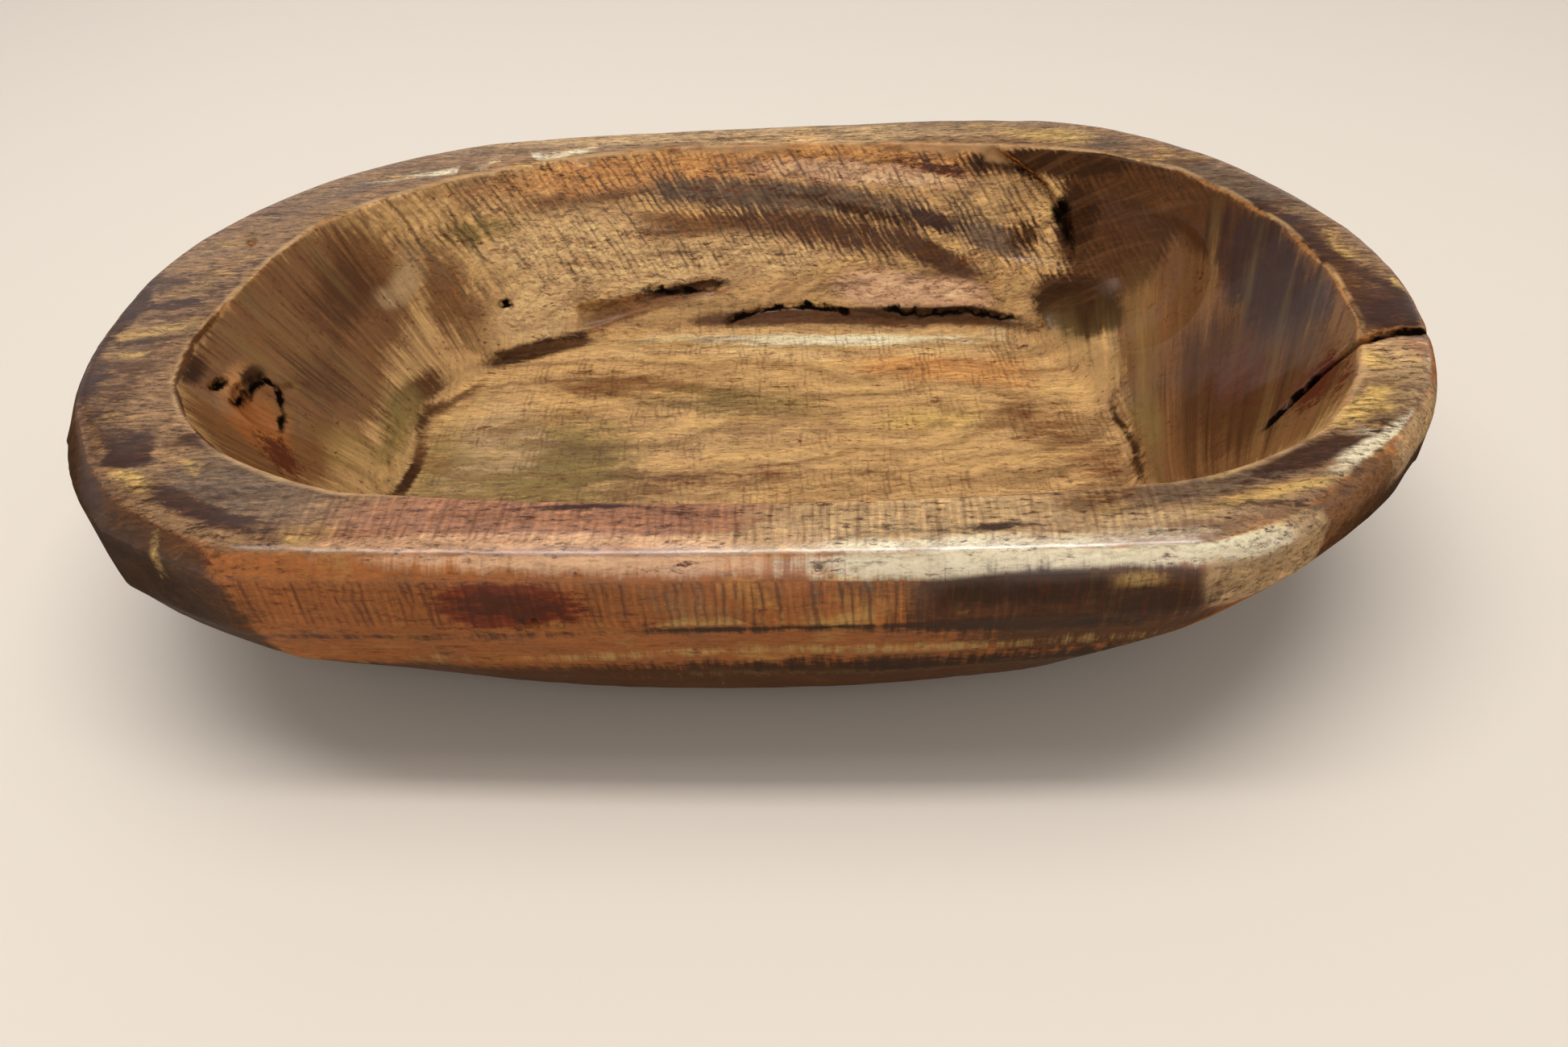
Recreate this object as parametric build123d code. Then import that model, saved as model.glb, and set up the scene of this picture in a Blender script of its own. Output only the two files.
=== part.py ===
from build123d import *
from math import hypot
import os

# A bowl hewn from one block of wood. X runs along its length, +Z is up, and the origin is on the
# surface it stands on, under the middle of the bowl. Outlines are drawn about the middle of the rim.

# Heights above the surface it stands on, at mid-length
rim_height = 50.0        # flat top of the rim
edge_height = 46.3       # under the worn outer edge of the rim
band_height = 36.8       # under the upright sawn band
bevel_height = 26.5      # under the steep lower bevel
flank_height = 13.0      # where the underside starts to turn in
heel_height = 4.0        # just above the flat it rests on
floor_height = 12.0      # inside floor

# Outlines of the outside, as the corners left by the flat cuts: x, y, and how far the cut to the
# next corner bows outwards. They run anticlockwise from the left end of the front side.
rim_edge = [
    (-76, -76, 1.8), (70, -79, 0.6), (86, -72, 0.8), (114, -47, 1.2), (124, -22, 1.8),
    (123, 20, 1.0), (103, 58, 2.0), (67, 81, 1.6), (-68, 77.5, 1.2), (-99, 62, 1.8),
    (-123.5, 30, 1.6), (-126, -4, 1.6), (-118, -40, 0.8), (-97, -64, 0.3),
]
band_edge = [
    (-77, -80, 1.4), (71, -81, 0.6), (88, -73.5, 0.8), (116, -47.5, 1.0), (125, -22, 1.2),
    (123.5, 20, 0.8), (104.5, 59.5, 1.8), (68, 83, 1.6), (-69, 80, 1.2), (-101, 64, 1.8),
    (-125, 31, 1.4), (-126, -4, 0.8), (-120, -43, 0.8), (-101, -68, 0.3),
]
flank_edge = [
    (-57, -67.5, 4.5), (48, -69.5, 1.5), (68, -60, 1.5), (89, -41, 1.5), (99, -20, 1.5),
    (98, 15, 1.5), (84, 45, 1.5), (52, 67, 3.0), (-57, 65, 1.5), (-85, 51, 1.5),
    (-105, 26, 1.5), (-110, -4, 1.5), (-105, -37, 1.5), (-88, -57, 1.0),
]
foot_edge = [
    (-42, -46, 2.0), (34, -46, 1.0), (50, -39, 1.0), (64, -26, 1.0), (70, -10, 1.0),
    (69, 10, 1.0), (60, 29, 1.0), (38, 45, 2.0), (-42, 44, 1.0), (-61, 35, 1.0),
    (-75, 18, 1.0), (-79, -3, 1.0), (-74, -23, 1.0), (-60, -38, 1.0),
]
band_rise = 0.025        # slope of the band's lower edge, up to the right
bevel_share = 0.3        # share of the way from the band to the flank under the steep bevel
heel_share = 0.5         # share of the way from the flank to the foot at the heel

# The mouth of the hollow and the outline of its floor, in the same form, corner for corner.
mouth = [
    (-62, -63.5, 4.0), (70, -64.5, 2.0), (98, -50, 2.0), (112.5, -18, 2.0), (110, 20, 1.5),
    (95, 49, 1.0), (64, 64.5, 2.5), (-25, 70, 1.5), (-74, 55.5, 1.0), (-98, 34, 0.6),
    (-105, 0, 2.0), (-103, -31, 1.5), (-86, -52, 1.0),
]
floor_edge = [
    (-50, -45, 2.0), (54, -45, 1.5), (68, -33, 1.0), (77, -14, 1.5), (76, 12, 1.0),
    (66, 32, 1.0), (50, 43, 1.5), (-12, 47, 1.0), (-48, 42, 1.0), (-68, 31, 1.0),
    (-76, 8, 0.6), (-76, -17, 1.0), (-66, -36, 1.0),
]
# Levels of the hollow: share of the depth from the mouth, share of the way in to the floor edge.
hollow_levels = [(0, 0), (0.16, 0.13), (0.5, 0.47), (0.82, 0.8), (1, 1)]
overcut = 3.0            # cuts that open at the rim are carried this far above it

# Round gouge marks: a point on the wall, the way the tool faced, its radius and how deep it bit.
gouge_marks = [
    ((-95.5, -18, 36.5), (0.8, 0, 0.6), 12.0, 2.2),       # left end wall
    ((86, 38, 31), (-0.6, -0.5, 0.62), 34.0, 2.4),        # back right corner
    ((71, 40, 23), (-0.35, -0.7, 0.62), 14.0, 2.0),       # below it
]

# Long slot cut by a narrow gouge low on the back wall
slot_start = (-46, 46.5, 17.0)
slot_end = (-12, 53.5, 21.5)
slot_radius = 4.0
slot_depth = 0.9
slot_facing = (0, -0.86, 0.5)

# Drying crack through the right end of the rim: its line seen from above, and half its width there.
crack_line = [(129, -20.5, 0.6), (112, -24.6, 0.7), (105, -26.2, 0.8), (98, -30, 0.5), (90, -35.5, 0.1)]
crack_bottom = 31.0


def outline(corners, z, rise=0):
    """A closed outline on one flat cut, each side an arc that bows by its own amount."""
    edges = []
    for (x0, y0, bow), (x1, y1, _) in zip(corners, corners[1:] + corners[:1]):
        length = hypot(x1 - x0, y1 - y0)
        x = (x0 + x1) / 2 + bow * (y1 - y0) / length
        y = (y0 + y1) / 2 - bow * (x1 - x0) / length
        ends_and_middle = [(x0, y0, z + rise * x0), (x, y, z + rise * x), (x1, y1, z + rise * x1)]
        edges.append(ThreePointArc(*ends_and_middle))
    return Face(Wire(edges))


def between(first, second, share):
    """Corners this share of the way from the first outline to the second."""
    return [tuple(a + share * (b - a) for a, b in zip(p, q)) for p, q in zip(first, second)]


def block():
    """The outside of the bowl, filled solid."""
    sections = [
        outline(rim_edge, rim_height),
        outline(band_edge, edge_height),
        outline(band_edge, band_height, band_rise),
        outline(between(band_edge, flank_edge, bevel_share), bevel_height, band_rise),
        outline(flank_edge, flank_height),
        outline(between(flank_edge, foot_edge, heel_share), heel_height),
        outline(foot_edge, 0),
    ]
    return loft(sections, ruled=True)


def hollow():
    """The space inside the bowl, open at the top."""
    depth = rim_height - floor_height
    first_depth, first_share = hollow_levels[1]
    rise = overcut / (first_depth * depth)
    sections = [outline(between(mouth, floor_edge, -rise * first_share), rim_height + overcut)]
    for down, share in hollow_levels:
        sections.append(outline(between(mouth, floor_edge, share), rim_height - down * depth))
    return loft(sections, ruled=True)


def gouge_cuts():
    cuts = [Pos(*tool_centre(point, facing, radius, depth)) * Sphere(radius)
            for point, facing, radius, depth in gouge_marks]
    start = tool_centre(slot_start, slot_facing, slot_radius, slot_depth)
    end = tool_centre(slot_end, slot_facing, slot_radius, slot_depth)
    cuts.append(Solid.make_cylinder(slot_radius, (end - start).length, Plane(start, z_dir=end - start)))
    return cuts


def tool_centre(point, facing, radius, depth):
    """Centre of a round tool that bites this deep at a point on the wall."""
    return Vector(*point) + Vector(*facing).normalized() * (radius - depth)


def crack():
    """A narrow cleft, open at the top, that closes towards the hollow."""
    one_side = [(x, y + half) for x, y, half in crack_line]
    other_side = [(x, y - half) for x, y, half in reversed(crack_line)]
    face = Face(Wire.make_polygon([(x, y, crack_bottom) for x, y in one_side + other_side]))
    return extrude(face, rim_height + overcut - crack_bottom, dir=(0, 0, 1))


def carved_bowl():
    """The finished bowl, with the middle of its box over the origin."""
    bowl = block() - hollow() - crack()
    for cut in gouge_cuts():
        bowl -= cut
    middle = bowl.bounding_box().center()
    return Pos(-middle.X, -middle.Y, 0) * bowl


os.makedirs("parts", exist_ok=True)
bowl = carved_bowl()
export_step(bowl, "parts/carved_bowl.step")
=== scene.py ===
# A hand-carved wooden bowl under clear lacquer, standing on a pale floor.
from math import cos, sin, pi, radians

import bmesh
import bpy
import numpy as np
from mathutils import Euler, Matrix, Vector, noise


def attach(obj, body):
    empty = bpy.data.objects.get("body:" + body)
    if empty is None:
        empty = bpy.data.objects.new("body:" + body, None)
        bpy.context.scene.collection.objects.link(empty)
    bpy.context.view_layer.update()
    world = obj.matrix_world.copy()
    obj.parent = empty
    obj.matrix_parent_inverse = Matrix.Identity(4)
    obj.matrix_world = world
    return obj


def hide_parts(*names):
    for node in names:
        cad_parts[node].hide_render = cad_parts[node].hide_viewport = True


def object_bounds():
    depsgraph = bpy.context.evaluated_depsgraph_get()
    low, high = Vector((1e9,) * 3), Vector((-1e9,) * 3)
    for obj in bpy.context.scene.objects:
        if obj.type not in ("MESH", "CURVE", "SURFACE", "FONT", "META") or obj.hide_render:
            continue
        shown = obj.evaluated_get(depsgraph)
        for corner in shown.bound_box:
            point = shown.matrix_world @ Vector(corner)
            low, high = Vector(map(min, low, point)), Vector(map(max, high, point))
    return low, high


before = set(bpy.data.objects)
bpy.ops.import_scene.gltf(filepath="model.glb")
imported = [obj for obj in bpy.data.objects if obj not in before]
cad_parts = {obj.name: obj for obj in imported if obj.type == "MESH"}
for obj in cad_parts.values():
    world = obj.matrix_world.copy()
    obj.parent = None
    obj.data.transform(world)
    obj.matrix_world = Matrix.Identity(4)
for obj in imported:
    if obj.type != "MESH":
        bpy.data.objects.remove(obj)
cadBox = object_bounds()
mm = 0.001
print("frame loaded, box in mm", [[round(v / mm, 1) for v in corner] for corner in cadBox])


# ---- small helpers for shapes, all in mm on plain arrays

def fade(values, start, end):  # 0 at start, 1 at end, smooth between
    t = np.clip((values - start) / (end - start), 0, 1)
    return t * t * (3 - 2 * t)


def nearRun(points, run, up=None):  # distance to a run of points, share along it, and which side of it a point is on
    run = np.array(run, float)
    lengths = np.linalg.norm(run[1:] - run[:-1], axis=1)
    best = np.full(len(points), 1e9)
    share, side = np.zeros(len(points)), np.zeros(len(points))
    for i, start in enumerate(run[:-1]):
        way = run[i + 1] - start
        t = np.clip((points - start) @ way / (way @ way), 0, 1)
        off = points - start - t[:, None] * way
        gap = np.linalg.norm(off, axis=1)
        closer = gap < best
        best[closer] = gap[closer]
        share[closer] = ((lengths[:i].sum() + t * lengths[i]) / lengths.sum())[closer]
        if up is not None:
            side[closer] = (off @ np.cross(way / lengths[i], up))[closer]
    return best, share, side


def insideOutline(points, outline):  # how far inside a closed plan outline a point is, negative outside
    closed = np.array(outline + outline[:1], float)
    gap, _, _ = nearRun(points[:, :2], closed)
    crossings = np.zeros(len(points), int)
    for (x0, y0), (x1, y1) in zip(closed[:-1], closed[1:]):
        spans = (points[:, 1] < y0) != (points[:, 1] < y1)
        reach = (x1 - x0) * (points[:, 1] - y0) / (y1 - y0 if y1 != y0 else 1) + x0
        crossings += spans & (points[:, 0] < reach)
    return np.where(crossings % 2 == 1, gap, -gap)


def readPoints(mesh):  # places in mm, normals, and edges
    places, normals = np.zeros(len(mesh.vertices) * 3), np.zeros(len(mesh.vertices) * 3)
    mesh.vertices.foreach_get("co", places)
    mesh.vertices.foreach_get("normal", normals)
    edges = np.zeros(len(mesh.edges) * 2, int)
    mesh.edges.foreach_get("vertices", edges)
    return places.reshape(-1, 3) / mm, normals.reshape(-1, 3), edges.reshape(-1, 2)


def neighbourMean(values, edges):  # each point's mean over the points that it shares an edge with
    size = len(values)
    ends = np.concatenate([edges, edges[:, ::-1]])
    count = np.maximum(np.bincount(ends[:, 0], minlength=size), 1)
    columns = values.reshape(size, -1)
    sums = [np.bincount(ends[:, 0], columns[ends[:, 1], i], size) / count for i in range(columns.shape[1])]
    return np.array(sums).T.reshape(values.shape)


def applied(piece):  # the piece's mesh with its modifiers worked in
    mesh = bpy.data.meshes.new_from_object(piece.evaluated_get(bpy.context.evaluated_depsgraph_get()))
    piece.modifiers.clear()
    piece.data = mesh
    return mesh


# ---- the bowl

bowl = {
    "skin": 0.62,      # mm between points while it is carved
    "faces": 192000,  # triangles that are kept
    "fullCorner": 1.3,
    "wear": 2,                                 # passes that soften the arrises
    "rubbing": 55,        # more of them where hands have rubbed the rim
    "mouth": [(-61.3, -64.2), (4, -68.2), (70.7, -65.2), (85, -60.5), (98.7, -50.7), (108, -36), (113.2, -18.7),
              (114, 0), (110.7, 19.2), (104, 35), (95.7, 48.2), (81, 58), (64.7, 63.7), (20, 69.2), (-24.3, 69.2),
              (-50, 64.5), (-73.3, 54.7), (-87, 45), (-97.3, 33.2), (-102.4, 17), (-104.3, -0.7), (-105, -17),
              (-102.3, -31.7), (-95, -43.5), (-85.3, -52.7), (-74, -59.5)],
    # shallow waves that the adze left: mm high, mm across
    "waves": [(0.32, 19), (0.13, 8), (0.05, 3.2)],
}
# grooves: a run, half width, depth
grooves = [
    # the U-shaped gouge in the left wall, and two nicks beside it
    ([(-97.5, -24.2, 40.5), (-98.3, -18.2, 40.3), (-97.3, -12, 38.4), (-95.1, -11.4, 35.6), (-93.4, -16, 33.9),
      (-91.9, -22, 33.1)], 0.9, 0.5),
    ([(-100.3, -24.7, 44.2), (-100.1, -19.7, 42.8)], 0.9, 0.7),
    ([(-94.5, -10.4, 34.8), (-93.3, -7.4, 33.3)], 0.8, 0.6),
    # upper lip of the long slot, and a short nick left of it
    ([(-29, 50.9, 21.4), (-12, 52.6, 21.7)], 0.8, 0.5),
    ([(-63.4, 41.5, 23.2), (-60.7, 43, 23.3)], 0.9, 0.7),
    # the torn scar above the floor
    ([(-9.5, 47.4, 13.7), (-1.3, 49, 16), (6.7, 49.5, 16.6), (18.7, 48.5, 16.1), (21.1, 47.6, 15)], 0.9, 0.45),
    ([(30.6, 47.6, 15.9), (38.5, 46.2, 15.4), (50.2, 45.5, 16.5), (61.3, 40.8, 16.7)], 1.0, 0.5),
    # the split in the right end
    ([(126, -22.5, 50), (117.2, -23.5, 50), (113, -25.8, 50), (110.1, -27, 48.8), (106, -26.5, 43.5), (103.3, -27.5, 41.2),
      (100.5, -29.3, 39), (96, -32.3, 35.9)], 0.9, 1.4),
]
# steps: a run, the drop beside it, and how far the drop takes to fade out
steps = [
    ([(53.2, 67.3, 50), (55.9, 65.6, 50), (61.5, 62.8, 47), (68.8, 58, 42.8), (70.9, 54.7, 39.9), (73.2, 51.5, 37.2),
      (74.3, 47.4, 33.1), (73.5, 44, 28.6)], 2.0, 9),
]
# dents: centre, radii, depth
dents = [
    ((72, 39, 24), (7, 5, 4.5), 0.7),
    ((-27.9, -82.2, 37.4), (0.9, 1, 1.6), 1.6),
    ((15.9, -81.6, 47.7), (1.3, 1, 1.0), 1.3), ((11.8, -80.2, 49.9), (0.6, 0.8, 0.8), 0.9),
    ((21.2, -82, 47.4), (0.6, 0.8, 0.6), 0.8), ((17.6, -82.3, 46.6), (0.5, 0.8, 0.5), 0.7),
    ((-36.4, -80, 48.8), (0.6, 0.8, 0.6), 0.8), ((-20.3, -81.6, 47.2), (0.6, 0.8, 0.6), 0.8),
    ((-109.4, 24.2, 50), (1.2, 2.2, 1), 0.9),
    # chips out of the far inner arris
    ((5, 67.8, 47.9), (6, 1.6, 2.0), 0.6), ((32.9, 66.8, 48.2), (4, 1.6, 1.8), 0.5), ((46.4, 64.6, 47.7), (3, 1.8, 2.0), 0.5),
    ((-43, 65.2, 49.2), (7, 1.6, 1.8), 0.7), ((-64.7, 59, 49.4), (4, 1.5, 1.5), 0.6), ((-21, 69.2, 48.6), (2.2, 1.6, 2), 0.7),
]


def waves(places, layers, seed):  # smooth bumps of several sizes, on the points' own places
    total = np.zeros(len(places))
    for height, across in layers:
        shifted = (places / across + seed).tolist()
        total += height * np.array([noise.noise(p) for p in shifted])
        seed += 17.3
    return total


def roundedPlan(places, inHollow):  # takes the corners off the plan, except along the front
    angle, reach = np.arctan2(places[:, 1], places[:, 0]), np.hypot(places[:, 0], places[:, 1])
    bins = 180
    top = places[:, 2] > 46
    outer = np.zeros(bins)
    np.maximum.at(outer, ((angle[top] + pi) / (2 * pi) * bins).astype(int) % bins, reach[top])
    spread = np.exp(-0.5 * (np.arange(-12, 13) / 3.4) ** 2)
    softer = np.convolve(np.concatenate([outer[-12:], outer, outer[:12]]), spread / spread.sum(), "valid")
    middles = (np.arange(bins) + 0.5) / bins * 2 * pi - pi
    change = np.interp(angle, middles, softer - outer + 0.5, period=2 * pi)
    change += bowl["fullCorner"] * np.exp(-((angle - 0.72) / 0.26) ** 2)  # the back right corner
    change *= fade(-inHollow, 2, 12) * fade(places[:, 2], 12, 30)
    change *= 0.1 + 0.9 * fade(places[:, 1], -72, -52)
    return places[:, :2] / reach[:, None] * change[:, None]


def carveBowl():
    skin = bpy.data.objects.new("carvedBowl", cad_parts["carved_bowl"].data.copy())
    bpy.context.scene.collection.objects.link(skin)
    skin.matrix_world = Matrix.Identity(4)
    work = bmesh.new()
    work.from_mesh(skin.data)
    bmesh.ops.remove_doubles(work, verts=work.verts, dist=0.005 * mm)
    work.to_mesh(skin.data)
    work.free()
    remesh = skin.modifiers.new("skin", "REMESH")
    remesh.mode, remesh.voxel_size = "VOXEL", bowl["skin"] * mm
    soften = skin.modifiers.new("wear", "SMOOTH")
    soften.factor, soften.iterations = 0.5, bowl["wear"]
    mesh = applied(skin)
    places, normals, edges = readPoints(mesh)
    print("skin of the bowl has", len(places), "points")

    inHollow = insideOutline(places, bowl["mouth"])
    upward = normals[:, 2]
    places[:, :2] += roundedPlan(places, inHollow)
    hollow = fade(inHollow, -1, 2) * fade(upward, -0.3, 0.1)
    # the outer arris of the rim is rubbed round, most of all along the front
    worn = fade(-inHollow, 6, 11) * fade(places[:, 2], 46, 48) * (0.35 + 0.65 * fade(-places[:, 1], 30, 60))
    for _ in range(bowl["rubbing"]):
        places += (neighbourMean(places, edges) - places) * 0.6 * worn[:, None]
    # tool marks: wide shallow waves, a little stronger in the hollow, none on the foot
    roughness = (0.55 + 0.45 * hollow) * fade(places[:, 2], 0.5, 6)
    places += normals * (waves(places, bowl["waves"], 3.1) * roughness)[:, None]
    for run, half, depth in grooves:
        gap, share, _ = nearRun(places, run)
        ends = fade(share, 0, 0.12) * fade(1 - share, 0, 0.12) * 0.6 + 0.4
        places -= normals * (depth * ends * (1 - fade(gap, 0, half * 1.4)))[:, None]
    for run, drop, reach in steps:
        gap, share, side = nearRun(places, run, normals.mean(0) * 0 + np.array([-0.45, -0.6, 0.66]))
        lower = fade(side, -0.2, 0.5) * np.exp(-np.maximum(gap, 0) / reach) * (gap < reach * 3)
        places -= normals * (drop * lower * hollow * fade(share, 0, 0.1) * fade(1 - share, 0, 0.05))[:, None]
    for centre, radii, depth in dents:
        gap = np.linalg.norm((places - centre) / radii, axis=1)
        places -= normals * (depth * (1 - fade(gap, 0.2, 1)))[:, None]
    low, high = [np.array(corner) / mm for corner in cadBox]
    places = np.clip(places, low, high)
    mesh.vertices.foreach_set("co", (places * mm).ravel())
    mesh.update()
    thin = skin.modifiers.new("thin", "DECIMATE")
    thin.ratio = min(1, bowl["faces"] / (2 * len(mesh.polygons)))
    mesh = applied(skin)
    kept = np.clip(readPoints(mesh)[0] * mm, cadBox[0], cadBox[1])
    mesh.vertices.foreach_set("co", kept.ravel())
    mesh.shade_smooth()
    return skin


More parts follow.
